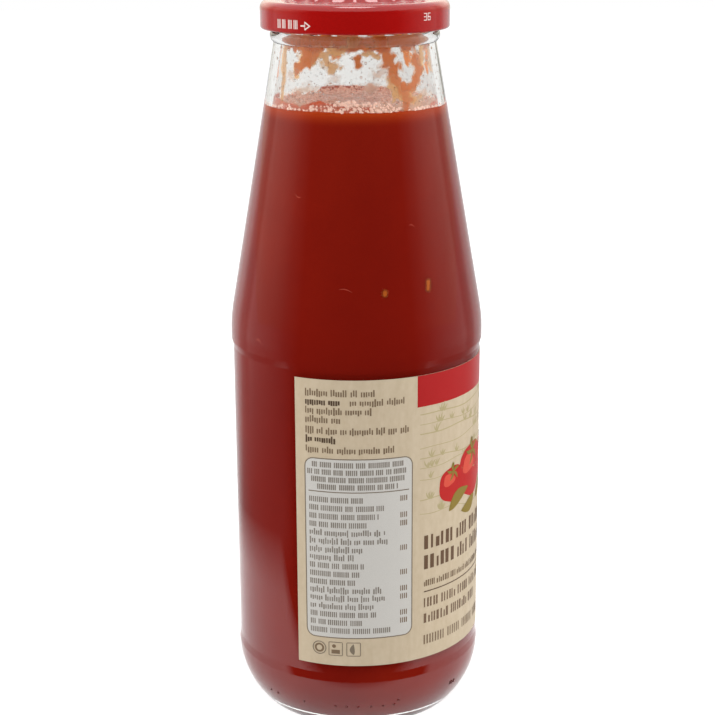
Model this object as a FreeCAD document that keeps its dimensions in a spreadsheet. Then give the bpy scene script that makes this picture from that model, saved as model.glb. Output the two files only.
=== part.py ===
"""A sealed glass jar of tomato pulp with a twist-off lid and a paper label.

The jar stands on z = 0 with its axis on Z, +Z up, in millimetres. The label begins
left of the -Y side and wraps round past +X. Everything that turns about the axis is
an outline in the XZ plane, revolved: x is then the radius and y is the height.
"""
import FreeCAD
import Part
import Sketcher

import math
import os

doc = FreeCAD.newDocument("tomato_pulp_jar")

# ---------------------------------------------------------------- driving dimensions
SIZES = {
    # glass jar, from the base up
    "panel_radius": 38.2,        # straight wall behind the label
    "wall": 2.4,
    "heel_proud": 0.35,          # heel bead beyond the panel
    "heel_height": 18.5,
    "foot_inset": 7.9,           # bearing ring's outer corner, inward from the heel
    "foot_curve": 4.2,           # rounding between the heel and the bearing ring
    "foot_land": 5.0,            # width of the bearing ring
    "foot_softening": 1.2,
    "push_up": 3.5,              # hollow under the base
    "base_wall": 3.5,
    "heel_step": 2.5,            # height of the soft step from the heel to the panel
    "panel_step": 2.2,           # height of the soft step from the panel to the shoulder
    "shoulder_proud": 0.57,
    "shoulder_band": 2.5,        # straight part above the step, where the jar is widest
    "shoulder_curve": 43.0,
    "neck_radius": 24.2,
    "neck_rise": 87.1,           # from the shoulder to the top of the cone
    "neck_wall": 2.4,
    "bead_height": 3.4,
    "bead_curve": 2.3,
    "finish_proud": 0.5,         # finish beyond the neck
    "rim_softening": 0.8,
    # thread starts, which the lid's lugs hook under
    "lug_count": 4,
    "thread_reach": 1.7,
    "thread_depth": 1.6,
    "thread_sweep": 62.0,
    "thread_root": 0.5,          # how far a thread start is rooted in the wall
    # contents
    "headspace": 28.9,           # from the rim down to the level
    # label
    "label_margin_low": 3.0,     # panel left bare below the label
    "label_margin_high": 1.9,
    "label_length": 90.7,
    "label_paper": 0.1,
    "label_start": -28.4,        # from the -Y side, turning towards +X
    "label_sweep": 208.0,
    # lid
    "lid_gap": 0.5,              # between the neck's bead and the skirt's edge
    "thread_clearance": 1.35,    # between the thread starts and the skirt
    "tin": 0.25,
    "gasket_depth": 0.85,
    "gasket_setback": 0.2,       # between the bore and the seal's inner edge
    "skirt_height": 8.3,
    "lid_corner": 2.1,
    "curl_radius": 0.8,
    "lug_clearance": 0.7,        # between the finish and a lug's tip
    "lug_depth": 1.1,
    "lug_sweep": 18.0,
    "step_gap": 0.4,             # between the seal and the foot of the lid's step
    "step_run": 2.4,
    "step_rise": 1.7,
    "flute_count": 20,
    "flute_length": 3.4,         # up the step
    "flute_curve": 2.4,
    "flute_swell": 0.5,
    "button_radius": 8.5,
    "button_dip": 0.6,
}

# Sizes that follow from the ones above, as expressions on the sheet. Radii:
HEEL_RADIUS = "(sizes.panel_radius + sizes.heel_proud)"
HEEL_CURVE = ("((sizes.foot_inset ^ 2 + sizes.heel_height ^ 2)"
              " / (2 * sizes.foot_inset))")
FOOT_RADIUS = "(" + HEEL_RADIUS + " - sizes.foot_inset)"
PUSH_UP_RADIUS = "(" + FOOT_RADIUS + " - sizes.foot_land)"
SHOULDER_RADIUS = "(sizes.panel_radius + sizes.shoulder_proud)"
BORE_RADIUS = "(sizes.neck_radius - sizes.neck_wall)"
INSIDE_RADIUS = "(sizes.panel_radius - sizes.wall)"
INSIDE_INSET = "(" + INSIDE_RADIUS + " - " + PUSH_UP_RADIUS + ")"
INSIDE_CURVE = (f"(({INSIDE_INSET} ^ 2 + (sizes.heel_height - sizes.base_wall) ^ 2)"
                f" / (2 * {INSIDE_INSET}))")
FINISH_RADIUS = "(sizes.neck_radius + sizes.finish_proud)"
LID_RADIUS = ("(" + FINISH_RADIUS + " + sizes.thread_reach + sizes.thread_clearance"
              " + sizes.tin)")
SEAL_INNER_RADIUS = "(" + BORE_RADIUS + " + sizes.gasket_setback)"
STEP_OUTER_RADIUS = "(" + SEAL_INNER_RADIUS + " - sizes.step_gap)"
STEP_INNER_RADIUS = "(" + STEP_OUTER_RADIUS + " - sizes.step_run)"
BUTTON_CURVE = ("((sizes.button_radius ^ 2 + sizes.button_dip ^ 2)"
                " / (2 * sizes.button_dip))")
# Heights:
PANEL_LOW_EDGE = "(sizes.heel_height + sizes.heel_step)"
LABEL_LOW_EDGE = "(" + PANEL_LOW_EDGE + " + sizes.label_margin_low)"
LABEL_HIGH_EDGE = "(" + LABEL_LOW_EDGE + " + sizes.label_length)"
PANEL_HIGH_EDGE = "(" + LABEL_HIGH_EDGE + " + sizes.label_margin_high)"
BAND_LOW_EDGE = "(" + PANEL_HIGH_EDGE + " + sizes.panel_step)"
SHOULDER_HEIGHT = "(" + BAND_LOW_EDGE + " + sizes.shoulder_band)"
NECK_HEIGHT = "(" + SHOULDER_HEIGHT + " + sizes.neck_rise)"
BEAD_TOP = "(" + NECK_HEIGHT + " + sizes.bead_height)"
LID_LOW_EDGE = "(" + BEAD_TOP + " + sizes.lid_gap)"
LUG_TOP = "(" + LID_LOW_EDGE + " + 2 * sizes.curl_radius)"
CHANNEL_TOP = "(" + LID_LOW_EDGE + " + sizes.skirt_height)"
CHANNEL_UNDERSIDE = "(" + CHANNEL_TOP + " - sizes.tin)"
PANEL_TOP = "(" + CHANNEL_TOP + " + sizes.step_rise)"
RIM_HEIGHT = "(" + CHANNEL_UNDERSIDE + " - sizes.gasket_depth)"
FILL_HEIGHT = "(" + RIM_HEIGHT + " - sizes.headspace)"


def make_sheet():
    """Put every driving dimension in a cell of its own, with its name beside it."""
    sheet = doc.addObject("Spreadsheet::Sheet", "sizes")
    for row, (name, number) in enumerate(SIZES.items(), start=1):
        sheet.set(f"A{row}", name)
        sheet.set(f"B{row}", str(number))
        sheet.setAlias(f"B{row}", name)
    doc.recompute()
    return sheet


sheet = make_sheet()


def value(expression):
    """What an expression on the sheet comes to, as a plain number."""
    result = sheet.evalExpression(expression)
    return float(getattr(result, "Value", result))


# ---------------------------------------------------------------- outlines
class Corner:
    """A corner of an outline, and how the outline runs on from it.

    radius and height are expressions. A corner with tangent set is only a first
    guess: it slides to where the two pieces that meet there run smoothly on.
    curve is the radius of the arc to the next corner, an expression, and side is
    +1 where that arc swells to the left of the way it runs, -1 to the right.
    """

    def __init__(self, radius, height, curve=None, side=1, tangent=False):
        self.radius = str(radius)
        self.height = str(height)
        self.curve = curve
        self.side = side
        self.tangent = tangent

    def point(self):
        return FreeCAD.Vector(value(self.radius), value(self.height), 0)


def edge_between(corner, start, end):
    """A line, or an arc of the corner's radius, from one point to the next."""
    if corner.curve is None:
        return Part.LineSegment(start, end)
    chord = end - start
    half = chord.Length / 2
    radius = value(corner.curve)
    rise = radius - math.sqrt(max(radius ** 2 - half ** 2, 0))
    left = FreeCAD.Vector(-chord.y, chord.x, 0).normalize()
    middle = (start + end) * 0.5 + left * (rise * corner.side)
    return Part.Arc(start, middle, end)


FIRST, LAST = 1, 2                 # how a sketch numbers the ends of an edge


def first_or_last(sketch, edge, start):
    """Which end of the edge lies at start: a sketch stores every arc anticlockwise."""
    at_start = sketch.getPoint(edge, FIRST).distanceToPoint(start) < 1e-6
    return FIRST if at_start else LAST


def origin_feature(body, role):
    return [o for o in body.Origin.OriginFeatures if o.Role == role][0]


def add_sketch(body, name):
    sketch = body.newObject("Sketcher::SketchObject", name)
    sketch.AttachmentSupport = [(origin_feature(body, "XZ_Plane"), "")]
    sketch.MapMode = "FlatFace"
    return sketch


def add_outline(body, name, corners):
    """A closed sketch in the body's XZ plane, with every size tied to the sheet."""
    sketch = add_sketch(body, name)
    points = [corner.point() for corner in corners]
    following = points[1:] + points[:1]
    edges = [sketch.addGeometry(edge_between(corner, start, end), False)
             for corner, start, end in zip(corners, points, following)]
    starts = [first_or_last(sketch, edge, start) for edge, start in zip(edges, points)]

    for index, corner in enumerate(corners):
        edge, first = edges[index], starts[index]
        before = edges[index - 1]
        last = LAST if starts[index - 1] == FIRST else FIRST
        if corner.tangent:
            sketch.addConstraint(Sketcher.Constraint("Tangent", before, last, edge, first))
        else:
            sketch.addConstraint(Sketcher.Constraint("Coincident", before, last, edge, first))
            tie(sketch, "DistanceX", edge, first, corner.radius)
            tie(sketch, "DistanceY", edge, first, corner.height)
        if corner.curve is not None:
            tie_radius(sketch, edge, corner.curve)
    doc.recompute()
    return sketch


def tie(sketch, kind, edge, point, expression):
    """Hold one point at a distance from the sketch's origin, across or up."""
    distance = value(expression)
    index = sketch.addConstraint(
        Sketcher.Constraint(kind, -1, 1, edge, point, distance))
    if distance != 0:
        sketch.setExpression(f"Constraints[{index}]", expression)


def tie_radius(sketch, edge, expression):
    index = sketch.addConstraint(
        Sketcher.Constraint("Radius", edge, value(expression)))
    sketch.setExpression(f"Constraints[{index}]", expression)


# ---------------------------------------------------------------- features
def new_body(name):
    body = doc.addObject("PartDesign::Body", name)
    body.Label = name
    return body


def turn(body, kind, name, sketch, angle="360"):
    """Revolve a sketch about the jar's axis: kind is Revolution or Groove."""
    volume_before = body.Tip.Shape.Volume if body.Tip else 0
    feature = body.newObject("PartDesign::" + kind, name)
    feature.Profile = sketch
    feature.ReferenceAxis = (sketch, ["V_Axis"])
    feature.setExpression("Angle", angle)
    doc.recompute()
    gained = feature.Shape.Volume - volume_before
    if (gained > 0) != (kind == "Revolution"):
        raise RuntimeError(f"{name} changes the volume by {gained:.3f}")
    return feature


def repeat_round(body, name, feature, count):
    """Repeat a feature round the jar's axis and make the whole set the body's tip."""
    axis = origin_feature(body, "Z_Axis")
    pattern = body.newObject("PartDesign::PolarPattern", name)
    pattern.Originals = [feature]
    pattern.Axis = (axis, [""])
    pattern.Angle = 360
    pattern.setExpression("Occurrences", count)
    body.Tip = pattern
    doc.recompute()
    return pattern


def round_edges(body, name, size, rings):
    """Fillet the circular edges with the given radii and heights."""
    base = body.Tip
    names = []
    for radius, height in rings:
        names += [ring_name(base.Shape, value(radius), value(height))]
    fillet = body.newObject("PartDesign::Fillet", name)
    fillet.Base = (base, names)
    fillet.setExpression("Radius", size)
    doc.recompute()
    return fillet


def ring_name(shape, radius, height):
    for index, edge in enumerate(shape.Edges, start=1):
        if edge.Degenerated or not isinstance(edge.Curve, Part.Circle):
            continue
        same_radius = abs(edge.Curve.Radius - radius) < 0.01
        if same_radius and abs(edge.Curve.Center.z - height) < 0.01:
            return f"Edge{index}"
    raise RuntimeError(f"no ring of radius {radius:.2f} at height {height:.2f}")


def tangent_guess(corner, end):
    """Where a line to end leaves the arc whose top and centre are level at corner."""
    curve = value(corner.curve)
    start = corner.point()
    centre = FreeCAD.Vector(start.x - curve, start.y, 0)
    reach = end.point() - centre
    angle = math.atan2(reach.y, reach.x) - math.acos(curve / reach.Length)
    return centre + FreeCAD.Vector(math.cos(angle), math.sin(angle), 0) * curve


# ---------------------------------------------------------------- glass jar
def outside_corners():
    """Outer form of the jar, filled solid, from the base up to the rim."""
    crown = Corner(SHOULDER_RADIUS, SHOULDER_HEIGHT, "sizes.shoulder_curve", -1)
    neck = Corner("sizes.neck_radius", NECK_HEIGHT, "sizes.bead_curve", -1)
    cone = tangent_guess(crown, neck)
    return [
        Corner(0, 0),
        Corner(FOOT_RADIUS, 0, HEEL_CURVE, -1),
        Corner(HEEL_RADIUS, "sizes.heel_height"),
        Corner("sizes.panel_radius", PANEL_LOW_EDGE),
        Corner("sizes.panel_radius", PANEL_HIGH_EDGE),
        Corner(SHOULDER_RADIUS, BAND_LOW_EDGE),
        crown,
        Corner(cone.x, cone.y, tangent=True),
        neck,
        Corner(FINISH_RADIUS, BEAD_TOP),
        Corner(FINISH_RADIUS, RIM_HEIGHT),
        Corner(0, RIM_HEIGHT),
    ]


def inside_corners():
    """Inner form of the jar, from the middle of its floor up to the rim."""
    crown = Corner(INSIDE_RADIUS, SHOULDER_HEIGHT,
                   "sizes.shoulder_curve - sizes.wall", -1)
    neck = Corner(BORE_RADIUS, NECK_HEIGHT)
    cone = tangent_guess(crown, neck)
    return [
        Corner(0, "sizes.push_up + sizes.base_wall"),
        Corner(PUSH_UP_RADIUS, "sizes.base_wall", INSIDE_CURVE, -1),
        Corner(INSIDE_RADIUS, "sizes.heel_height"),
        crown,
        Corner(cone.x, cone.y, tangent=True),
        neck,
        Corner(BORE_RADIUS, RIM_HEIGHT),
        Corner(0, RIM_HEIGHT),
    ]


def make_glass_jar():
    body = new_body("glass_jar")
    turn(body, "Revolution", "jar_form",
         add_outline(body, "jar_outline", outside_corners()))
    round_edges(body, "heel_rounding", "sizes.foot_curve", [(FOOT_RADIUS, "0")])
    hollow = add_outline(body, "cavity_outline", inside_corners())
    turn(body, "Groove", "cavity", hollow)
    dome = "(" + PUSH_UP_RADIUS + " ^ 2 + sizes.push_up ^ 2) / (2 * sizes.push_up)"
    under = add_outline(body, "push_up_outline", [
        Corner(0, 0),
        Corner(PUSH_UP_RADIUS, 0, dome, -1),
        Corner(0, "sizes.push_up"),
    ])
    turn(body, "Groove", "base_push_up", under)
    round_edges(body, "foot_softening", "sizes.foot_softening", [(PUSH_UP_RADIUS, "0")])
    round_edges(body, "rim_softening", "sizes.rim_softening",
                [(FINISH_RADIUS, RIM_HEIGHT),
                 (BORE_RADIUS, RIM_HEIGHT)])
    root = FINISH_RADIUS + " - sizes.thread_root"
    reach = FINISH_RADIUS + " + sizes.thread_reach"
    slope = "sizes.thread_depth / 3"
    thread = add_outline(body, "thread_outline", [
        Corner(root, LUG_TOP),
        Corner(reach, LUG_TOP),
        Corner(reach, LUG_TOP + " + sizes.thread_depth - " + slope),
        Corner(root, LUG_TOP + " + sizes.thread_depth"),
    ])
    start = turn(body, "Revolution", "thread_start", thread, "sizes.thread_sweep")
    repeat_round(body, "thread_starts", start, "sizes.lug_count")
    return body


# ---------------------------------------------------------------- contents
def make_pulp():
    """The pulp fills the jar's inner form up to its level."""
    body = new_body("tomato_pulp")
    turn(body, "Revolution", "pulp_form",
         add_outline(body, "pulp_outline", inside_corners()))
    above = add_outline(body, "above_level_outline", [
        Corner(0, FILL_HEIGHT),
        Corner(INSIDE_RADIUS, FILL_HEIGHT),
        Corner(INSIDE_RADIUS, RIM_HEIGHT),
        Corner(0, RIM_HEIGHT),
    ])
    turn(body, "Groove", "level", above)
    return body


# ---------------------------------------------------------------- label
def make_label():
    body = new_body("label")
    outer = "sizes.panel_radius + sizes.label_paper"
    sketch = add_outline(body, "label_outline", [
        Corner("sizes.panel_radius", LABEL_LOW_EDGE),
        Corner(outer, LABEL_LOW_EDGE),
        Corner(outer, LABEL_HIGH_EDGE),
        Corner("sizes.panel_radius", LABEL_HIGH_EDGE),
    ])
    turn(body, "Revolution", "label_wrap", sketch, "sizes.label_sweep")
    body.setExpression("Placement.Rotation.Angle", "sizes.label_start - 90")
    return body


# ---------------------------------------------------------------- lid and its seal
def lid_outside_corners():
    """The lid's pressed form, filled solid, with the skirt's edge rolled inward."""
    wall_end = CHANNEL_TOP + " - sizes.lid_corner"
    roll = LID_RADIUS + " - sizes.curl_radius"
    return [
        Corner(0, PANEL_TOP + " - sizes.button_dip"),
        Corner(0, LUG_TOP),
        Corner(roll, LUG_TOP, "sizes.curl_radius", -1),
        Corner(roll, LID_LOW_EDGE, "sizes.curl_radius", -1),
        Corner(LID_RADIUS, LID_LOW_EDGE + " + sizes.curl_radius"),
        Corner(LID_RADIUS, wall_end, "sizes.lid_corner", -1),
        Corner(LID_RADIUS + " - sizes.lid_corner", CHANNEL_TOP),
        Corner(STEP_OUTER_RADIUS, CHANNEL_TOP),
        Corner(STEP_INNER_RADIUS, PANEL_TOP),
        Corner("sizes.button_radius", PANEL_TOP, BUTTON_CURVE, 1),
    ]


def lid_inside_corners():
    """The same form one thickness of tin further in, down to the rolled edge."""
    inner = LID_RADIUS + " - sizes.tin"
    bend = "sizes.lid_corner - sizes.tin"
    return [
        Corner(0, PANEL_TOP + " - sizes.button_dip - sizes.tin"),
        Corner(0, LUG_TOP),
        Corner(inner, LUG_TOP),
        Corner(inner, CHANNEL_TOP + " - sizes.lid_corner", bend, -1),
        Corner(LID_RADIUS + " - sizes.lid_corner", CHANNEL_UNDERSIDE),
        Corner(STEP_OUTER_RADIUS + " - sizes.tin", CHANNEL_UNDERSIDE),
        Corner(STEP_INNER_RADIUS + " - sizes.tin", PANEL_TOP + " - sizes.tin"),
        Corner("sizes.button_radius", PANEL_TOP + " - sizes.tin", BUTTON_CURVE, 1),
    ]


def make_lid():
    body = new_body("lid")
    turn(body, "Revolution", "lid_form",
         add_outline(body, "lid_outline", lid_outside_corners()))
    add_flutes(body)
    turn(body, "Groove", "lid_hollow",
         add_outline(body, "lid_hollow_outline", lid_inside_corners()))
    add_lugs(body)
    return body


def add_lugs(body):
    """Flattened tabs of the rolled edge that hook in under the jar's thread starts."""
    tip = FINISH_RADIUS + " + sizes.lug_clearance"
    root = LID_RADIUS + " - sizes.curl_radius / 2"
    lug = add_outline(body, "lug_outline", [
        Corner(tip, LUG_TOP + " - sizes.lug_depth"),
        Corner(root, LUG_TOP + " - sizes.lug_depth"),
        Corner(root, LUG_TOP),
        Corner(tip, LUG_TOP),
    ])
    first = turn(body, "Revolution", "lug", lug, "sizes.lug_sweep")
    repeat_round(body, "lugs", first, "sizes.lug_count")


def add_flutes(body):
    """Round ribs run up the step between the sealing channel and the raised panel.

    Each is a rod that lies along the slope, sunk until only its swell stands proud.
    """
    rib = body.newObject("PartDesign::AdditiveCylinder", "flute")
    rib.setExpression("Radius", "sizes.flute_curve")
    rib.setExpression("Height", "sizes.flute_length")
    slope = "atan(sizes.step_rise / sizes.step_run)"
    sunk = "(sizes.flute_curve - sizes.flute_swell)"
    half = "(sizes.flute_length / 2)"
    across = (f"{STEP_INNER_RADIUS} + sizes.step_run / 2"
              f" - {half} * cos({slope}) - {sunk} * sin({slope})")
    up = (f"{CHANNEL_TOP} + sizes.step_rise / 2"
          f" + {half} * sin({slope}) - {sunk} * cos({slope})")
    lying = f"rotation(vector(0; 1; 0); 90 deg + {slope})"
    half_a_space = "180 deg / sizes.flute_count"
    rib.setExpression("Placement", f"mrotatez(placement(vector({across}; 0; {up});"
                                   f" {lying}); {half_a_space})")
    doc.recompute()
    repeat_round(body, "flutes", rib, "sizes.flute_count")


def make_gasket():
    """The sealing ring fills the channel's outer corner, down to the jar's rim."""
    body = new_body("lid_gasket")
    bend = "(sizes.lid_corner - sizes.tin)"
    corner_radius = LID_RADIUS + " - sizes.lid_corner"
    outer = (f"{corner_radius} + sqrt({bend} ^ 2"
             f" - ({bend} - sizes.gasket_depth) ^ 2)")
    inner = SEAL_INNER_RADIUS
    ring = add_outline(body, "gasket_outline", [
        Corner(inner, RIM_HEIGHT),
        Corner(outer, RIM_HEIGHT, bend, -1),
        Corner(corner_radius, CHANNEL_UNDERSIDE),
        Corner(inner, CHANNEL_UNDERSIDE),
    ])
    turn(body, "Revolution", "gasket_ring", ring)
    return body


# ---------------------------------------------------------------- build and write
def check_document():
    """Stop on any object that failed, and on any body without a sound solid."""
    for item in doc.Objects:
        if "Invalid" in item.State or "Error" in item.State:
            raise RuntimeError(f"{item.Name} failed: {item.State}")


def check_body(body):
    shape = body.Shape
    if shape.isNull() or not shape.isValid() or len(shape.Solids) != 1:
        raise RuntimeError(f"{body.Label} is not one sound solid")


bodies = [make_glass_jar(), make_pulp(), make_label(), make_lid(), make_gasket()]
doc.recompute()
check_document()
os.makedirs("parts", exist_ok=True)
for body in bodies:
    check_body(body)
    body.Shape.exportStep(f"parts/{body.Label}.step")
    box = body.Shape.BoundBox
    print(f"{body.Label}: {body.Shape.Volume / 1000:.1f} ml,"
          f" z {box.ZMin:.2f} to {box.ZMax:.2f}")
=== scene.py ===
"""Looks of the jar of tomato pulp: glass, pulp with seeds and foam, lid, printed label.

Lengths are metres, and MM turns millimetres into metres. Smears, seeds and print are given
in millimetres and degrees. An angle round the jar is 0 where the jar faces the camera (-Y)
and grows towards +X.
"""

import bisect
import math
import random

import bmesh
import bpy
from mathutils import Matrix, Vector, noise


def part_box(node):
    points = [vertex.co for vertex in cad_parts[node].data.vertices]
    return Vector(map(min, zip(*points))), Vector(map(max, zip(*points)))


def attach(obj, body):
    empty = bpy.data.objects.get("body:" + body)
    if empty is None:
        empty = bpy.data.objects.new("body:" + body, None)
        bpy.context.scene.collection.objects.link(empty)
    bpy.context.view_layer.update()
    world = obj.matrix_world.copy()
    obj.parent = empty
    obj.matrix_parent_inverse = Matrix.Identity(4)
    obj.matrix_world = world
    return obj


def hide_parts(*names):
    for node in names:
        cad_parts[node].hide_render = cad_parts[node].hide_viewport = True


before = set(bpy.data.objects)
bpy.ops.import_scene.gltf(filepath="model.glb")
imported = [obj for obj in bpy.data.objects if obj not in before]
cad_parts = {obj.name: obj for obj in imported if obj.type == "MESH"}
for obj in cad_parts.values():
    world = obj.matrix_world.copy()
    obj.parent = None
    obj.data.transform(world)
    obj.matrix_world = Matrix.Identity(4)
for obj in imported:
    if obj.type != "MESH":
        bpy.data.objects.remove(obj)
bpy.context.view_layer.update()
MM = 0.001
BODY = "root"


# ---- the frame's own sizes
def side_profile(node, facing):
    """(height, radius) pairs of a turned CAD piece, facing out (+1) or in (-1)."""
    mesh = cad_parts[node].data
    pairs = {}
    for face in mesh.polygons:
        across = face.normal.x * face.center.x + face.normal.y * face.center.y
        if across * facing < 0.1 * math.hypot(face.center.x, face.center.y):
            continue
        for index in face.vertices:
            spot = mesh.vertices[index].co
            height = round(spot.z, 5)
            pairs[height] = max(pairs.get(height, 0), math.hypot(spot.x, spot.y))
    return sorted(pairs.items())


def reading(profile):
    """A function that reads a profile's radius at any height."""
    heights = [height for height, radius in profile]

    def radius_at(height):
        index = min(max(bisect.bisect_left(heights, height), 1), len(heights) - 1)
        low, high = profile[index - 1], profile[index]
        share = (height - low[0]) / max(high[0] - low[0], 1e-9)
        return low[1] + (high[1] - low[1]) * min(max(share, 0), 1)

    return radius_at


inner_radius = reading(side_profile("glass_jar", -1))
outer_radius = reading(side_profile("glass_jar", 1))
PULP_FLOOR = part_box("tomato_pulp")[0][2]
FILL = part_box("tomato_pulp")[1][2]
LID_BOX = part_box("lid")
LABEL_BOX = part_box("label")
LID_RADIUS = LID_BOX[1][0]
LABEL_LOW, LABEL_HIGH = LABEL_BOX[0][2], LABEL_BOX[1][2]
LABEL_RADIUS = LABEL_BOX[1][0]
LABEL_START = math.radians(-28.4)


def place(angle, radius, height):
    """A point at an angle from the camera side, a distance from the axis and a height."""
    return Vector((radius * math.sin(angle), -radius * math.cos(angle), height))


# ---- node helpers
class Nodes:
    """Adds shader nodes to a tree and links them, one short call each."""

    def __init__(self, tree, material=None):
        self.tree = tree
        self.material = material

    def add(self, kind, settings=None, **inputs):
        """A node. Inputs go by name, with _ for a space, or by place, as i0, i1 or i2."""
        node = self.tree.nodes.new("ShaderNode" + kind)
        for name, setting in (settings or {}).items():
            setattr(node, name, setting)
        for name, value in inputs.items():
            socket = int(name[1:]) if name[0] == "i" and name[1:].isdigit() \
                else name.replace("_", " ")
            if isinstance(value, bpy.types.Node):
                value = value.outputs[0]
            if isinstance(value, bpy.types.NodeSocket):
                self.tree.links.new(value, node.inputs[socket])
            else:
                node.inputs[socket].default_value = value
        return node

    def show(self, shader, kind="Material"):
        """Send a shader to the tree's output."""
        self.add("Output" + kind, Surface=shader)
        return self.material

    def math(self, operation, *values):
        inputs = {f"i{index}": value for index, value in enumerate(values)}
        return self.add("Math", {"operation": operation}, **inputs).outputs[0]

    def plus(self, first, second):
        return self.math("ADD", first, second)

    def times(self, first, second):
        return self.math("MULTIPLY", first, second)

    def clamp(self, value, low=0.0, high=1.0):
        return self.math("MINIMUM", self.math("MAXIMUM", value, low), high)

    def between(self, value, low, high):
        """0 below low, 1 above high."""
        share = self.math("DIVIDE", self.math("SUBTRACT", value, low), high - low)
        return self.clamp(share)

    def weigh(self, first, share, second):
        """Share of the first value and the rest of the second."""
        return self.plus(self.times(first, share), self.times(second, 1 - share))

    def mix(self, share, first, second, blend="MIX"):
        """Two colours mixed by share."""
        return self.add("Mix", {"data_type": "RGBA", "blend_type": blend}, i0=share,
                        i6=first, i7=second).outputs[2]

    def mix_shaders(self, share, first, second):
        return self.add("MixShader", i0=share, i1=first, i2=second)

    def ramp(self, factor, stops):
        """A colour ramp: stops are (position, colour) pairs."""
        node = self.add("ValToRGB", i0=factor)
        elements = node.color_ramp.elements
        while len(elements) < len(stops):
            elements.new(0.5)
        for element, (position, colour) in zip(elements, stops):
            element.position = position
            element.color = (*colour, 1)
        return node.outputs["Color"]

    def by_angle(self, turn, levels):
        """Strength by an angle in half turns: levels are (degrees, strength) pairs."""
        return self.ramp(turn, [(degrees / 180, (level,) * 3) for degrees, level in levels])

    def noise(self, scale, detail=2, roughness=0.5, **more):
        return self.add("TexNoise", Scale=scale, Detail=detail, Roughness=roughness,
                        **more).outputs["Fac"]

    def tone(self, scale, low, high, detail=2):
        """A colour that wanders between two."""
        return self.ramp(self.noise(scale, detail), [(0.3, low), (0.7, high)])

    def coordinates(self, kind="Object"):
        return self.add("TexCoord").outputs[kind]

    def stretched(self, scale):
        """Object coordinates, stretched by scale."""
        return self.add("Mapping", Vector=self.coordinates(), Scale=scale).outputs["Vector"]

    def parts(self, vector):
        return self.add("SeparateXYZ", Vector=vector).outputs

    def ray(self, *kinds):
        """1 for a ray of one of these kinds, otherwise 0."""
        path = self.add("LightPath")
        found = [path.outputs[f"Is {kind} Ray"] for kind in kinds]
        return self.math("MAXIMUM", *found) if len(found) == 2 else found[0]

    def bump(self, height, distance, strength):
        return self.add("Bump", Height=height, Distance=distance,
                        Strength=strength).outputs["Normal"]

    def surface(self, colour, roughness, ior, **more):
        return self.add("BsdfPrincipled", Base_Color=colour, Roughness=roughness, IOR=ior,
                        **more)


def srgb(red, green, blue):
    """A display colour, 0 to 255 a channel, as the linear one that shaders take."""
    def linear(channel):
        share = channel / 255
        return share / 12.92 if share <= 0.04045 else ((share + 0.055) / 1.055) ** 2.4
    return tuple(linear(channel) for channel in (red, green, blue))


def shade(colour, factor):
    return tuple(channel * factor for channel in colour)


def new_material(name):
    """The nodes of a new material, with none in its tree yet."""
    material = bpy.data.materials.new(name)
    material.use_nodes = True
    material.node_tree.nodes.clear()
    return Nodes(material.node_tree, material)


def opaque(name, scale, low, high, roughness, ior, detail=2, **more):
    """A material whose colour wanders between two."""
    nodes = new_material(name)
    return nodes.show(nodes.surface(nodes.tone(scale, low, high, detail), roughness, ior,
                                    **more))


# ---- materials
def clear_material(name, scale, low, high, ior, waves=None):
    """Clear matter that lamps and soft light reach through without being bent. Waves in
    its surface are (noise scale, upright stretch, distance, strength)."""
    nodes = new_material(name)
    tint = nodes.tone(scale, low, high)
    bent = nodes.surface(tint, 0.0, ior, Transmission_Weight=1.0)
    if waves:
        size, stretch, distance, strength = waves
        height = nodes.noise(size, 1, Vector=nodes.stretched((1, 1, stretch)))
        nodes.tree.links.new(nodes.bump(height, distance, strength), bent.inputs["Normal"])
    straight = nodes.add("BsdfTransparent", Color=(0.97, 0.975, 0.975, 1))
    return nodes.show(nodes.mix_shaders(nodes.ray("Shadow", "Diffuse"), bent, straight))


def glass_material():
    return clear_material("flint_glass", 260, (0.935, 0.94, 0.925), (0.965, 0.968, 0.958),
                          1.5, (35, 0.35, 0.00018, 0.35))


def pulp_material():
    """Deep red pulp, finely mottled, with a painted glow at its level: a paler orange edge
    that stands in for light shining through the thin pulp there.
    """
    nodes = new_material("tomato_pulp")
    cloud = nodes.noise(22, 4, Vector=nodes.stretched((1, 1, 0.55)), Distortion=0.4)
    fine = nodes.noise(420, 3, 0.6)
    deep = nodes.ramp(nodes.weigh(cloud, 0.7, fine),
                      [(0.30, PULP_DARK), (0.5, PULP_MID), (0.72, PULP_LIGHT)])
    height = nodes.parts(nodes.coordinates())["Z"]
    # painted glow: towards the level the pulp turns paler orange, in place of light shining
    # through the thin edge
    edge_glow = nodes.math("POWER", nodes.between(height, FILL - PULP_EDGE_GLOW_DEPTH, FILL), 1.6)
    return nodes.show(nodes.surface(nodes.mix(edge_glow, deep, (*PULP_EDGE_GLOW, 1)), 0.55, 1.33,
                                    Specular_IOR_Level=0.02,
                                    Normal=nodes.bump(fine, 0.0002, 0.1)))


PULP_DARK = shade(srgb(112, 16, 8), 0.92)
PULP_MID = shade(srgb(122, 20, 9), 0.92)
PULP_LIGHT = shade(srgb(140, 30, 12), 0.92)
# painted glow: the paler orange at the level, and how far down from the level it reaches
PULP_EDGE_GLOW = srgb(176, 62, 22)
PULP_EDGE_GLOW_DEPTH = 4.5 * MM


def paper_material():
    """Cream label paper with a faint upright grain."""
    nodes = new_material("label_paper")
    grain = nodes.noise(420, Vector=nodes.stretched((1, 1, 0.15)))
    colour = nodes.ramp(nodes.weigh(grain, 0.5, nodes.noise(40, 3)),
                        [(0.35, srgb(184, 167, 141)), (0.65, srgb(192, 176, 151))])
    return nodes.show(nodes.surface(colour, 0.5, 1.45, Specular_IOR_Level=0.35,
                                    Normal=nodes.bump(grain, 0.00003, 0.4)))


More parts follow.
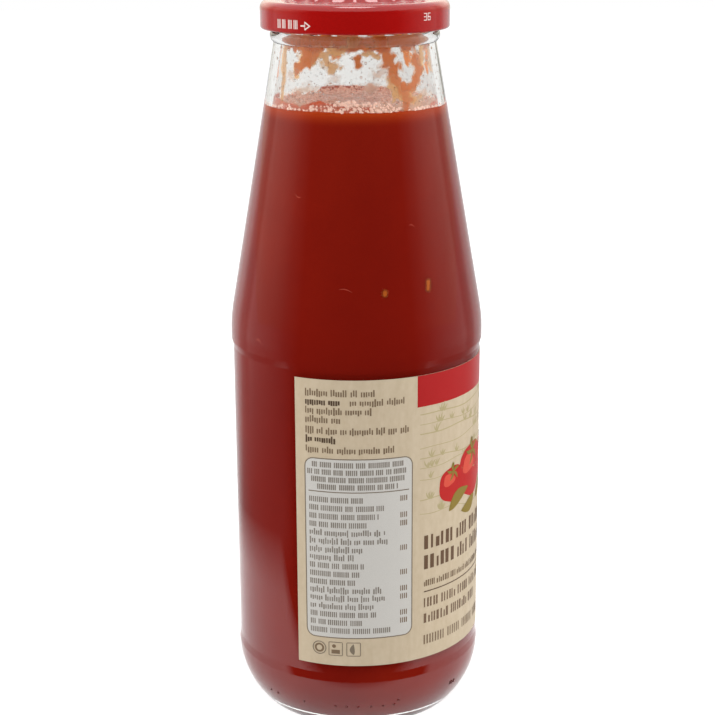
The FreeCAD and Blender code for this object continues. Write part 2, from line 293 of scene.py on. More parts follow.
def ink_material(name, colour, roughness):
    """Printed ink: its colour breaks up a little with the paper's grain."""
    return opaque(name, 900, shade(colour, 0.9), shade(colour, 1.08), roughness, 1.45,
                  Specular_IOR_Level=0.35)


def lacquer_material():
    """Red lacquer on pressed tin: matt colour under a clear gloss coat."""
    nodes = new_material("red_lacquer")
    colour = nodes.tone(60, srgb(149, 5, 3), srgb(158, 9, 6))
    return nodes.show(nodes.surface(colour, 0.5, 1.45, Specular_IOR_Level=0.05,
                                    Coat_Weight=1.0, Coat_Roughness=0.06,
                                    Normal=nodes.bump(nodes.noise(500, 1), 0.00001, 0.3)))


def gasket_material():
    return opaque("sealing_compound", 500, srgb(205, 198, 184), srgb(222, 216, 204),
                  0.6, 1.45)


# ---- mesh helpers
def new_object(name, data):
    made = bpy.data.objects.new(name, data)
    bpy.context.scene.collection.objects.link(made)
    return made


def new_piece(name, bm, material, replaces=None):
    """Turn a bmesh into a piece that rides with the jar."""
    mesh = bpy.data.meshes.new(name)
    bm.to_mesh(mesh)
    bm.free()
    add_piece(mesh, material, replaces)


def add_piece(mesh, material, replaces=None):
    """Shade a mesh smooth and let it ride with the jar."""
    mesh.polygons.foreach_set("use_smooth", [True] * len(mesh.polygons))
    mesh.materials.append(material)
    piece = new_object(mesh.name, mesh)
    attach(piece, BODY)
    if replaces:
        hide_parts(replaces)


def dress(node, material):
    """Give a CAD node, whose shape stays, its material."""
    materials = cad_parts[node].data.materials
    materials.clear()
    materials.append(material)


def join_strip(bm, columns):
    """Faces between neighbouring columns of vertices, each listed from its low end."""
    for before, after in zip(columns, columns[1:]):
        for low in range(len(before) - 1):
            bm.faces.new((before[low], after[low], after[low + 1], before[low + 1]))


def join_rings(bm, rings):
    """Quads between neighbouring rings of vertices, each ring closed."""
    for lower, upper in zip(rings, rings[1:]):
        count = len(lower)
        for index in range(count):
            after = (index + 1) % count
            bm.faces.new((lower[index], lower[after], upper[after], upper[index]))


def close_ring(bm, ring, centre, upward):
    """A fan from a closed ring to one middle point."""
    middle = bm.verts.new(centre)
    count = len(ring)
    for index in range(count):
        after = (index + 1) % count
        face = (ring[index], ring[after], middle)
        bm.faces.new(face if upward else face[::-1])


# ---- pulp
INTO_WALL = 0.12 * MM
AROUND = 240


def ripple(angle, radius, scale, seed):
    """Smooth noise, -1 to 1, over the pulp's top."""
    return noise.noise(Vector((radius * math.cos(angle) * scale,
                               radius * math.sin(angle) * scale, seed)))


def make_pulp():
    """The pulp reaches just into the wall; its top is uneven and creeps up the glass."""
    bm = bmesh.new()
    step = 1.5 * MM
    levels = int((FILL - PULP_FLOOR) / step)
    rings = []
    for level in range(levels + 1):
        height = PULP_FLOOR + (FILL - PULP_FLOOR) * level / levels
        radius = inner_radius(height) + INTO_WALL
        top = level == levels
        rings.append([bm.verts.new(place(angle, radius, height + top * edge_rise(angle)))
                      for angle in circle(AROUND)])
    join_rings(bm, rings)
    top_radius = inner_radius(FILL)
    caps = [rings[-1]]
    for share in (0.98, 0.95, 0.9, 0.82, 0.7, 0.55, 0.4, 0.25, 0.1):
        radius = top_radius * share
        dip = -0.5 * MM * (1 - share ** 6)
        caps.append([bm.verts.new(place(angle, radius, FILL + dip
                                        + edge_rise(angle) * share ** 4
                                        + 0.35 * MM * ripple(angle, radius, 260, 3.1)))
                     for angle in circle(AROUND)])
    join_rings(bm, caps)
    close_ring(bm, caps[-1], place(0, 0, FILL - 0.5 * MM), True)
    close_ring(bm, rings[0], place(0, 0, PULP_FLOOR), False)
    new_piece("pulp_fill", bm, pulp_material(), "tomato_pulp")


def circle(count):
    return [2 * math.pi * index / count for index in range(count)]


def edge_rise(angle):
    """How much higher or lower the pulp stands against the glass at an angle."""
    wave = ripple(angle, 1, 1.3, 7.7) + 0.5 * ripple(angle, 1, 4.1, 1.9)
    return 0.45 * MM * wave - 0.4 * MM


# ---- above the level
def film_material(name, core, edge, thin, full, strength, broken=1.1, translucent=0.6):
    """A wet smear on the glass: where it thins out, more of what is behind shows."""
    nodes = new_material(name)
    cover = nodes.add("Attribute", {"attribute_name": "cover"}).outputs["Fac"]
    rough = nodes.weigh(nodes.noise(420, 4, 0.6), 0.7, nodes.noise(1700))
    body = nodes.plus(cover, nodes.times(nodes.math("SUBTRACT", rough, 0.5), broken))
    colour = nodes.ramp(body, [(thin + 0.06, edge), (full, core)])
    lit = nodes.mix_shaders(translucent,
                            nodes.surface(colour, 0.4, 1.35, Specular_IOR_Level=0.15),
                            nodes.add("BsdfTranslucent", Color=colour))
    share = nodes.add("MapRange", Value=body, From_Min=thin, From_Max=full, To_Max=strength)
    clear = nodes.add("BsdfTransparent", Color=(1, 1, 1, 1))
    return nodes.show(nodes.mix_shaders(share, clear, lit))


def bubble_material_with_painted_glow(name, dark, middle, light, scale):
    """Foam: small pale bubbles with a warm tint, and a painted glow: they emit a fifth of
    their own colour in place of light scattering between the bubbles.
    """
    nodes = new_material(name)
    colour = nodes.ramp(nodes.noise(scale, 3, 0.6),
                        [(0.36, dark), (0.5, middle), (0.62, light)])
    # painted glow: the emission stands in for light scattering between the bubbles
    skin = nodes.surface(colour, 0.15, 1.33, Emission_Color=colour, Emission_Strength=0.2)
    return nodes.show(nodes.mix_shaders(0.35, skin,
                                        nodes.add("BsdfTranslucent", Color=colour)))


def water_material():
    return clear_material("droplets", 300, (0.97, 0.97, 0.96), (1.0, 0.995, 0.99), 1.25)


NECK_INSIDE = 20.0            # mm, about the glass's inner radius above the level
CONE_INSIDE = 34.0            # mm, about the inner radius where fibres show
FAR_OUTSIDE = -1.2            # cover below which noise can't make a patch show


class Smear:
    """A thin patch on the inside of the glass, kept where its strokes and noise agree.
    A stroke is (angle, height, angle, height, half width) in degrees and millimetres."""

    def __init__(self, strokes, ragged, scale, seed):
        self.strokes = strokes
        self.ragged = ragged
        self.scale = scale
        self.seed = seed

    def cover(self, angle, height):
        """Above zero where the patch covers the glass."""
        radius = inner_radius(height)
        best = -2.0
        for first_angle, first_up, last_angle, last_up, half_width in self.strokes:
            first = (math.radians(first_angle) * radius, first_up * MM)
            last = (math.radians(last_angle) * radius, last_up * MM)
            here = (angle * radius, height)
            reach = 3 * half_width * MM
            sides = sorted((first[0], last[0]))
            if not sides[0] - reach < here[0] < sides[1] + reach:
                continue
            along = (last[0] - first[0], last[1] - first[1])
            offset = (here[0] - first[0], here[1] - first[1])
            length = max(along[0] ** 2 + along[1] ** 2, 1e-12)
            share = min(max((offset[0] * along[0] + offset[1] * along[1]) / length, 0), 1)
            away = math.hypot(offset[0] - along[0] * share, offset[1] - along[1] * share)
            best = max(best, 1 - away / (half_width * MM))
        if best < FAR_OUTSIDE:
            return -1.0
        spot = Vector((angle * radius * self.scale, height * self.scale, self.seed))
        rough = noise.fractal(spot, 0.9, 2.1, 3)
        return best + self.ragged * min(max(rough, -1), 1)

    def span(self):
        """The lowest and highest angle and height that the patch can reach."""
        reach = max(stroke[4] for stroke in self.strokes) * 2.1
        turn = math.degrees(reach / NECK_INSIDE)
        angles = [stroke[i] for stroke in self.strokes for i in (0, 2)]
        heights = [stroke[i] for stroke in self.strokes for i in (1, 3)]
        return (min(angles) - turn, max(angles) + turn,
                min(heights) - reach, max(heights) + reach)


FILM_GAP = 0.1 * MM
FILM_MESH = 0.35 * MM
FILM_LOWEST = FILL / MM - 0.8      # mm
SMEAR_TOP = 211.5                  # mm


def make_smear(name, patches, material, gap=FILM_GAP, step=FILM_MESH, lowest=FILM_LOWEST):
    """Every patch of one colour as one piece: a thin film just off the glass."""
    bm = bmesh.new()
    layer = bm.verts.layers.float.new("cover")
    for patch in patches:
        low_angle, high_angle, low, high = patch.span()
        high = min(high, SMEAR_TOP)
        low = max(low, lowest)
        columns = int(math.radians(high_angle - low_angle)
                      * inner_radius(low * MM) / step) + 1
        rows = int((high - low) * MM / step) + 1
        covers = []
        for column in range(columns + 1):
            angle = math.radians(low_angle + (high_angle - low_angle) * column / columns)
            covers.append([(angle, height, patch.cover(angle, height))
                           for height in ((low + (high - low) * row / rows) * MM
                                          for row in range(rows + 1))])
        made = {}

        def vertex(column, row):
            if (column, row) not in made:
                angle, height, cover = covers[column][row]
                vert = bm.verts.new(place(angle, inner_radius(height) - gap, height))
                vert[layer] = min(max(cover, 0.0), 1.0)
                made[column, row] = vert
            return made[column, row]

        for column in range(columns):
            for row in range(rows):
                corners = ((column, row), (column + 1, row), (column + 1, row + 1),
                           (column, row + 1))
                if max(covers[c][r][2] for c, r in corners) > 0:
                    bm.faces.new([vertex(c, r) for c, r in corners])
    new_piece(name, bm, material)


def level_strokes(height, pitch, length, half_wide):
    """Level strokes all the way round the glass."""
    return [(start, height, start + length, height, half_wide)
            for start in range(-180, 180, pitch)]


def make_smears():
    """What clings to the glass between the level and the lid."""
    orange = [
        Smear([(-52, 209, -40, 207, 1.7), (-41, 207.5, -33, 206.0, 2.4),
               (-35, 206, -43, 201.8, 1.9), (-27, 208, -34, 204, 1.8)], 0.8, 520, 1.0),
        Smear([(20, 209.5, 25, 203.8, 2.6), (25, 204.5, 28, 201.5, 2.4),
               (26, 200.5, 33, 197.0, 1.8), (33, 197.5, 36, 193.5, 2.0),
               (48, 205, 50, 200.5, 1.9), (50, 200.5, 41, 196.5, 1.7),
               (34, 195, 35, 191.5, 1.4)], 0.7, 480, 2.0),
        Smear([(1.6, 205.2, 2.2, 203.4, 1.25)], 0.5, 600, 3.0),
        Smear([(-2, 209.5, 8, 208.2, 1.8)], 0.8, 600, 3.5),
    ]
    for seed, *stroke in ((4.0, 95, 207, 104, 200, 2.0), (4.1, 138, 208, 131, 201, 2.0),
                          (4.2, 205, 208, 196, 202, 2.0), (4.3, 282, 208, 276, 199, 2.0)):
        orange.append(Smear([stroke], 0.9, 430, seed))
    tan = [
        Smear([(-60, 207, -57, 196.0, 1.2), (-57, 196, -56.5, 191.5, 0.8)], 0.5, 420, 5.0),
        Smear([(-28, 205.5, -13, 207.5, 2.0), (-22, 204.6, -14, 202.6, 1.8),
               (-10, 208, 0, 209.6, 1.3)], 0.9, 520, 6.0),
        Smear([(26, 199.5, 30, 195.5, 2.2), (28, 195, 44, 193.2, 2.2)], 0.8, 450, 7.0),
        Smear([(58, 209, 52, 204, 1.9), (68, 207, 66, 201, 1.4)], 0.9, 430, 8.0),
        Smear([(10, 207, 17, 205.5, 0.9), (6, 206.6, 9, 206.2, 0.7)], 0.8, 520, 8.5),
    ]
    for seed, *stroke in ((9.0, 110, 207, 118, 199, 1.8), (9.1, 225, 207, 232, 197, 1.8),
                          (9.2, 262, 208, 258, 200, 1.8)):
        tan.append(Smear([stroke], 0.9, 430, seed))
    ring = [Smear(level_strokes(210.3, 12, 12, 1.2), 0.35, 420, 10.0),
            Smear(level_strokes(208.0, 24, 12, 1.2), 0.9, 520, 10.7)]
    pale = [Smear(level_strokes(191.4, 20, 20, 1.5), 0.8, 420, 11.0)]
    pale += [Smear([(degrees, height, degrees + 6, height + 0.8, 1.7)], 0.9, 380, degrees)
             for degrees, height in ((-75, 196), (-52, 200), (-40, 196), (-18, 198.5),
                                     (8, 197), (14, 201), (46, 194), (70, 197),
                                     (120, 199), (160, 195), (200, 198), (240, 196))]
    tide = [Smear([(-100, 190.6, -66, 191.0, 2.3), (-66, 191.0, -42, 190.0, 2.0),
                   (-35, 190.2, -24, 191.6, 2.0), (-24, 191.6, -14, 190.6, 2.0),
                   (-14, 190.5, 9, 190.3, 1.5)], 0.18, 300, 12.0),
            Smear([(60, 190.0, 90, 190.6, 1.8)], 0.18, 300, 12.5),
            Smear([(150, 190.2, 205, 190.6, 1.8)], 0.18, 300, 12.8)]
    for name, film, core, edge, settings, patches in (
            ("tide_film", "tide_film", (196, 78, 36), (214, 120, 84),
             (-0.02, 0.2, 1.0, 0.3, 0.25), tide),
            ("orange_smears", "orange_smear", (218, 124, 56), (236, 180, 116),
             (-0.08, 0.42, 1.0), orange),
            ("tan_smears", "tan_smear", (230, 182, 122), (242, 216, 174),
             (-0.04, 0.5, 0.94), tan),
            ("rim_stain", "rim_stain", (198, 104, 46), (224, 166, 104),
             (0.0, 0.5, 0.95), ring),
            ("pale_film", "pale_film", (222, 190, 166), (236, 222, 208),
             (0.0, 0.8, 0.55), pale)):
        make_smear(name, patches, film_material(film, srgb(*core), srgb(*edge), *settings))


def ball_template(subdivisions):
    """Corner points and faces of a ball of radius 1."""
    bm = bmesh.new()
    bmesh.ops.create_icosphere(bm, subdivisions=subdivisions, radius=1)
    points = [vert.co.copy() for vert in bm.verts]
    faces = [[vert.index for vert in face.verts] for face in bm.faces]
    bm.free()
    return points, faces


class Heap:
    """Many small balls, joined as one piece."""

    coarse, smooth = ball_template(1), ball_template(2)

    def __init__(self):
        self.points = []
        self.faces = []

    def ball(self, centre, size, flat=1.0):
        """A ball, squashed towards the glass by flat."""
        points, faces = self.coarse if size < 0.35 * MM else self.smooth
        across = Vector((centre.x, centre.y, 0)).normalized()
        first = len(self.points)
        self.points += [centre + (point - across * (point.dot(across) * (1 - flat))) * size
                        for point in points]
        self.faces += [[first + index for index in face] for face in faces]

    def finish(self, name, material, slot):
        mesh = bpy.data.meshes.new(name)
        mesh.from_pydata(self.points, [], self.faces)
        add_piece(mesh, material)


def foam_height(angle):
    """How high the foam climbs the glass, in mm above the level."""
    lift = 0.8 + noise.noise(Vector((math.cos(angle) * 2.1, math.sin(angle) * 2.1, 4.0)))
    heap = sum(height * math.exp(-(math.remainder(angle - centre, 2 * math.pi) / wide) ** 2)
               for centre, wide, height in ((-0.1, 0.4, 2.6), (0.32, 0.2, 1.0),
                                            (3.0, 0.8, 1.2)))
    return lift + heap + 0.9 * noise.noise(Vector((angle * 9, 0.0, 2.0)))


def make_foam():
    """A frothy skin on the pulp, and bubbles heaped along the glass above the level."""
    rng = random.Random(5)
    heap = Heap()
    for _ in range(3000):
        angle = rng.uniform(-math.pi, math.pi)
        top = foam_height(angle)
        if rng.random() > top / 4.0:
            continue
        height = FILL + (rng.random() ** 0.9 * top - 0.6) * MM
        size = rng.choice((0.16, 0.2, 0.26, 0.34, 0.44, 0.56)) * MM
        radius = inner_radius(height) - size * 0.5 - rng.uniform(0, 0.2) * MM
        heap.ball(place(angle, radius, height), size, 0.7)
    top_radius = inner_radius(FILL)
    for _ in range(900):
        angle = rng.uniform(-math.pi, math.pi)
        radius = top_radius * math.sqrt(rng.uniform(0.1, 0.97))
        size = rng.choice((0.25, 0.35, 0.5, 0.7)) * MM
        heap.ball(place(angle, radius, FILL - 0.3 * MM), size)
    # the foam's material carries a painted glow
    heap.finish("foam", bubble_material_with_painted_glow("pulp_foam", srgb(214, 152, 126),
                                        srgb(238, 200, 180), srgb(254, 246, 238), 900),
                "pulp")

    skin = bmesh.new()
    rings = []
    for index in range(46):
        share = 1 - index / 46
        radius = (top_radius - 0.15 * MM) * share
        ring = []
        for angle in circle(AROUND):
            froth = 0.4 * MM * abs(ripple(angle, radius, 700, 8.8)) \
                + 0.5 * MM * ripple(angle, radius, 210, 5.5)
            height = FILL + froth * min(1, 8 * (1 - share)) - 0.1 * MM \
                + edge_rise(angle) * share ** 4
            ring.append(skin.verts.new(place(angle, radius, height)))
        rings.append(ring)
    join_rings(skin, rings)
    close_ring(skin, rings[-1], place(0, 0, FILL), True)
    # the froth's material carries the same painted glow
    new_piece("froth", skin, bubble_material_with_painted_glow("pulp_froth", srgb(188, 98, 70),
                                             srgb(234, 172, 140), srgb(255, 238, 220), 520))


def make_droplets():
    """Clear drops and fine specks on the inside of the glass above the level."""
    rng = random.Random(9)
    drops, specks = Heap(), Heap()
    for heap, count, lowest, highest, sizes in (
            (drops, 520, 1.5, 19.5, (0.12, 0.16, 0.22, 0.3, 0.42)),
            (specks, 300, 0.5, 19.0, (0.09, 0.12, 0.17))):
        for _ in range(count):
            angle = rng.uniform(-math.pi, math.pi)
            height = FILL + rng.uniform(lowest, highest) * MM
            size = rng.choice(sizes) * MM
            heap.ball(place(angle, inner_radius(height) - size * 0.1, height), size, 0.5)
    drops.finish("droplets", water_material(), "glass")
    specks.finish("dark_specks", speck_material("speck", srgb(130, 84, 58)), "pulp")


def speck_material(name, colour):
    return opaque(name, 1200, shade(colour, 0.7), shade(colour, 1.25), 0.4, 1.35,
                  Specular_IOR_Level=0.25)


# ---- in the pulp
AGAINST_GLASS = 0.2 * MM      # what lies against the glass shows just outside the pulp


def make_seeds():
    """Seeds and pale fibres that show faintly where they lie against the glass."""
    seeds = []
    for degrees, height, half_wide, length, lean in (
            (13.9, 139.3, 1.3, 0.6, 0), (37.5, 140.2, 1.45, 1.8, 0.6),
            (-96, 152.0, 1.2, 1.0, 2), (150, 148.0, 1.25, 0.8, 1),
            (188, 133.0, 1.15, 1.2, -2), (100, 129.0, 1.2, 1.6, 0),
            (-140, 141.0, 1.3, 0.7, 1)):
        half = length / 2
        seeds.append(Smear([(degrees - lean / 2, height - half, degrees + lean / 2,
                             height + half, half_wide)], 0.12, 500, degrees))
    make_smear("seeds", seeds, film_material("seed", srgb(172, 88, 30), srgb(138, 38, 14),
                                             0.0, 0.8, 0.9, 0.35, 0.0),
               -AGAINST_GLASS, 0.2 * MM, 0)

    fibres = bmesh.new()
    for degrees, height, reach, bend in ((-5.2, 140.6, 3.8, 0.5), (-51.0, 122.5, 2.4, 1.0),
                                         (31.0, 158.0, 2.2, 0.5), (-34, 167.0, 2.6, -0.6),
                                         (170, 150.0, 4.0, 0.8), (-120, 128.0, 4.0, -0.8)):
        rows = []
        for step in range(13):
            share = step / 12
            up = height + bend * math.sin(math.pi * share) - 0.8 * share
            angle = math.radians(degrees) + (share - 0.5) * reach / CONE_INSIDE
            wide = 0.14 * math.sin(math.pi * min(max(share, 0.04), 0.96)) ** 0.5
            radius = inner_radius(up * MM) + AGAINST_GLASS
            rows.append([fibres.verts.new(place(angle, radius - sunk * MM, level * MM))
                         for level, sunk in ((up - wide, 0), (up, 0.03), (up + wide, 0))])
        join_strip(fibres, rows)
    new_piece("fibres", fibres, speck_material("fibre", srgb(168, 64, 48)))


# ---- lid
LID_LOW = LID_BOX[0][2]
LID_CHANNEL = LID_LOW + 8.3 * MM
LID_PANEL = LID_CHANNEL + 1.7 * MM
TIN = 0.25 * MM
LID_CORNER = 2.3 * MM
ROLL = 0.8 * MM               # radius of the rolled edge
DISH, DISH_DEPTH = 8.5 * MM, 0.6 * MM
RIBS = 20
RIB_SWELL = 0.55 * MM
STEP_OUTER, STEP_INNER = 21.6 * MM, 19.2 * MM
STEP_SLOPE = math.atan2(LID_PANEL - LID_CHANNEL, STEP_OUTER - STEP_INNER)


def arc(centre, radius, start, end, count):
    """Profile points on an arc, from one angle to another in degrees, without a rib."""
    angles = [math.radians(start + (end - start) * step / count)
              for step in range(count + 1)]
    return [(centre[0] + radius * math.cos(angle), centre[1] + radius * math.sin(angle), 0)
            for angle in angles]


def lid_profile():
    """(radius, height, how far a rib lifts the tin there), from the top's middle."""
    corner = (LID_RADIUS - LID_CORNER, LID_CHANNEL - LID_CORNER)
    roll = (LID_RADIUS - ROLL, LID_LOW + ROLL)
    points = [(DISH * share, LID_PANEL - DISH_DEPTH * (1 - share ** 2), 0)
              for share in (0.15, 0.35, 0.55, 0.75, 0.9, 1.0)]
    points += [(radius * MM, LID_PANEL, 0) for radius in (8.8, 12, 16, 18.3)]
    for step in range(25):
        share = step / 24
        radius = 18.6 * MM + 3.9 * MM * share
        fall = min(max((radius - STEP_INNER) / (STEP_OUTER - STEP_INNER), 0), 1)
        soft = fall * fall * (3 - 2 * fall) * 0.4 + fall * 0.6
        points.append((radius, LID_PANEL - (LID_PANEL - LID_CHANNEL) * soft,
                       math.sin(math.pi * share) ** 0.75))
    points += [(radius * MM, LID_CHANNEL, 0) for radius in (23.0, 24.5)]
    points += arc(corner, LID_CORNER, 90, 0, 12)
    points += [(LID_RADIUS, LID_LOW + height * MM, 0)
               for height in (5.2, 4.2, 3.2, 2.0, 1.2)]
    points += arc(roll, ROLL, 0, -270, 18)
    points += [(LID_RADIUS - TIN, LID_LOW + height * MM, 0) for height in (1.9, 3.5, 5.5)]
    points += arc(corner, LID_CORNER - TIN, 0, 90, 8)
    points += [(STEP_OUTER - TIN, LID_CHANNEL - TIN, 0),
               (STEP_INNER - TIN, LID_PANEL - TIN, 0), (DISH, LID_PANEL - TIN, 0),
               (1 * MM, LID_PANEL - DISH_DEPTH - TIN, 0)]
    return points


def make_lid():
    """The pressed lid with rounded ribs up its step, a rolled edge and four lugs."""
    bm = bmesh.new()
    rings = []
    for radius, height, lift in lid_profile():
        ring = []
        for angle in circle(480):
            wave = (0.5 + 0.5 * math.cos(RIBS * angle)) ** 1.3
            swell = RIB_SWELL * lift * wave
            ring.append(bm.verts.new(place(angle, radius + swell * math.sin(STEP_SLOPE),
                                           height + swell * math.cos(STEP_SLOPE))))
        rings.append(ring)
    join_rings(bm, rings[::-1])
    close_ring(bm, rings[0], place(0, 0, LID_PANEL - DISH_DEPTH), True)
    close_ring(bm, rings[-1], place(0, 0, LID_PANEL - DISH_DEPTH - TIN), False)
    for start in (90, 180, 270, 360):
        add_lug(bm, start)
    new_piece("lid_tin", bm, lacquer_material(), "lid")


def add_lug(bm, start):
    """One flattened tab of the rolled edge, 18 degrees long."""
    low, high = LID_LOW + 0.5 * MM, LID_LOW + 1.6 * MM
    tip, root = LID_RADIUS - 2.6 * MM, LID_RADIUS - 0.4 * MM
    columns = []
    for step in range(13):
        angle = math.radians(start + 1.5 * step)
        columns.append([bm.verts.new(place(angle, radius, height)) for radius, height in
                        ((tip, low), (root, low), (root, high), (tip, high))])
    join_rings(bm, columns[::-1])
    bm.faces.new(columns[0])
    bm.faces.new(columns[-1][::-1])


# ---- marks in the glass
def make_heel_marks():
    """Small raised dots moulded round the heel, and a few more beside them."""
    marks = Heap()
    dots = [(degrees, 9.4) for degrees in (-48, -43, -27, -11, -5.5, 0, 6, 12, 17.4)]
    dots += [(19.2, 11.0)] + [(degrees, up) for up in (11.4, 10.6)
                              for degrees in (50.4, 51.6, 53.4)]
    dots += [(130 + 5.8 * index, 9.4) for index in range(12)]
    for degrees, up in dots:
        sunk = outer_radius(up * MM) - 0.12 * MM
        marks.ball(place(math.radians(degrees), sunk, up * MM), 0.4 * MM)
    marks.finish("heel_marks", painted_dark_lens_material(), "glass")


def painted_dark_lens_material():
    """Moulded glass marks read as small dark lenses over the red behind them; their opaque
    dark colour is painted shade in place of clear glass bending darker surroundings into
    view.
    """
    # painted shade: opaque dark red-brown where the real marks are clear glass
    return opaque("moulded_marks_painted_dark", 400, srgb(70, 20, 18), srgb(92, 34, 30), 0.3, 1.4, 1)


# ---- label print
INK_LIFT = 0.02 * MM   # each layer of print stands this far above the one below
BORDER = 37.5          # mm from the label's start to its front panel
FRONT_END = 101.6      # mm to where the front panel ends and the second side panel starts
LABEL_HEIGHT = (LABEL_HIGH - LABEL_LOW) / MM
# what is printed on: start angle, radius, lowest point, angle of one unit along it, the
# longest piece that needn't be cut to follow the curve, and slot
ON_LABEL = (LABEL_START, LABEL_RADIUS, LABEL_LOW, MM / LABEL_RADIUS, 1.2, "paper")
ON_LID = (0.0, LID_RADIUS, 0.0, math.radians(1), 4.0, "lacquered_tin")


class Print:
    """Flat shapes of one ink: millimetres up and along it, or degrees along the lid."""

    def __init__(self, name, colour, layer, roughness=0.5, surface=ON_LABEL):
        self.name = name
        self.material = ink_material(name, colour, roughness)
        self.start, radius, self.base, self.unit, self.longest, self.slot = surface
        self.radius = radius + INK_LIFT * layer
        self.bm = bmesh.new()

    def spot(self, along, up):
        return self.bm.verts.new(
            place(self.start + along * self.unit, self.radius, self.base + up * MM))

    def bar(self, left, low, right, high):
        self.band([((left, low), (left, high)), ((right, low), (right, high))])

    def band(self, edge_pairs):
        """A strip between pairs of (along, up) points, low side first, cut often enough
        to follow the curve."""
        columns = [edge_pairs[0]]
        for after in edge_pairs[1:]:
            before = columns[-1]
            cuts = max(1, math.ceil(abs(after[0][0] - before[0][0]) / self.longest))
            for cut in range(1, cuts + 1):
                columns.append([partway(first, last, cut / cuts)
                                for first, last in zip(before, after)])
        join_strip(self.bm, [[self.spot(*point) for point in column]
                             for column in columns])

    def frame(self, left, low, right, high, corner, line):
        """The outline of a box with rounded corners."""
        inner = rounded_box(left + line, low + line, right - line, high - line,
                            corner - line)
        self.band(list(zip(rounded_box(left, low, right, high, corner), inner)))

    def panel(self, left, low, right, high, corner):
        """A filled box with rounded corners, in rows."""
        rises = [corner * (1 - math.cos(math.pi / 2 * step / 6)) for step in range(7)]
        rows = [low + rise for rise in rises] + [high - rise for rise in reversed(rises)]

        def ends(up):
            inset = corner_inset(up, low, high, corner)
            return (left + inset, up), (right - inset, up)

        for below, above in zip(rows, rows[1:]):
            self.band(list(zip(ends(below), ends(above))))

    def disc(self, along, up, wide, high, waviness=0.0, lobes=5, phase=0.0):
        """A round or gently lobed shape, in rings."""
        rings = []
        for share in (0.35, 0.7, 1.0):
            ring = []
            for angle in circle(40):
                size = share * (1 + waviness * math.cos(lobes * angle + phase))
                ring.append(self.spot(along + wide * size * math.cos(angle),
                                      up + high * size * math.sin(angle)))
            rings.append(ring)
        middle = self.spot(along, up)
        for index in range(40):
            self.bm.faces.new((middle, rings[0][index], rings[0][(index + 1) % 40]))
        join_rings(self.bm, rings[::-1])

    def ring(self, along, up, radius, line):
        pairs = []
        for angle in circle(32) + [0]:
            across, rise = math.cos(angle), math.sin(angle)
            pairs.append(((along + radius * across, up + radius * rise),
                          (along + (radius - line) * across, up + (radius - line) * rise)))
        self.band(pairs)

    def leaf(self, along, up, length, width, direction):
        """A pointed leaf that grows from (along, up) in a direction."""
        ahead = (math.cos(direction), math.sin(direction))
        aside = (-ahead[1], ahead[0])
        pairs = []
        for step in range(13):
            share = step / 12
            half = width / 2 * math.sin(math.pi * share) ** 0.8 * (1.15 - 0.45 * share)
            bend = length * 0.12 * math.sin(math.pi * share)
            base = (along + ahead[0] * length * share + aside[0] * bend,
                    up + ahead[1] * length * share + aside[1] * bend)
            pairs.append(((base[0] - aside[0] * half, base[1] - aside[1] * half),
                          (base[0] + aside[0] * half, base[1] + aside[1] * half)))
        self.band(pairs)

    def greeked(self, left, low, right, height, rng, weight=1.0, level=False):
        """A line of plain upright ticks where small print would be; level: all tall."""
        along = left
        pitch = height * 0.34
        while along < right - pitch:
            word = rng.randint(3, 11)
            for _ in range(word):
                if along > right - pitch:
                    break
                tall = height * (0.95 if level else rng.choice((0.68, 0.72, 0.7, 1.0)))
                wide = pitch * rng.uniform(0.5, 0.66) * weight
                foot = 0.0 if level else height * rng.choice((0.0, 0.0, 0.0, 0.12, -0.14))
                self.bar(along, low + foot, along + wide, low + tall)
                along += pitch
            along += pitch * rng.uniform(0.8, 1.3)

    def uprights(self, left, low, right, height, line, rng):
        """A row of plain upright bars of mixed widths, in groups, for a title's place."""
        along = left
        while along < right - 4 * line:
            for _ in range(rng.randint(4, 9)):
                wide = line * rng.choice((0.8, 1.0, 1.0, 1.5))
                if along + wide > right:
                    break
                top = height * rng.choice((1.0, 1.0, 1.0, 0.72))
                self.bar(along, low, along + wide, low + top)
                along += wide + line * rng.choice((0.7, 0.9, 1.2))
            along += line * 1.4

    def finish(self):
        """All shapes of this ink as one piece of the label."""
        for face in self.bm.faces:
            centre = face.calc_center_median()
            if face.normal.x * centre.x + face.normal.y * centre.y < 0:
                face.normal_flip()
        new_piece(self.name, self.bm, self.material)


def partway(first, last, share):
    """The point that lies a share of the way from one to the other."""
    return [start + (end - start) * share for start, end in zip(first, last)]


def rounded_box(left, low, right, high, corner):
    """Points round a box with rounded corners, back to the first."""
    points = []
    for along, up, start in ((right - corner, low + corner, -90),
                             (right - corner, high - corner, 0),
                             (left + corner, high - corner, 90),
                             (left + corner, low + corner, 180)):
        for step in range(7):
            angle = math.radians(start + 15 * step)
            points.append((along + corner * math.cos(angle), up + corner * math.sin(angle)))
    return points + points[:1]


def corner_inset(up, low, high, corner):
    """How far a rounded corner holds a box's side in at a height."""
    depth = min(up - low, high - up)
    if depth >= corner:
        return 0
    return corner - math.sqrt(max(corner ** 2 - (corner - depth) ** 2, 0))


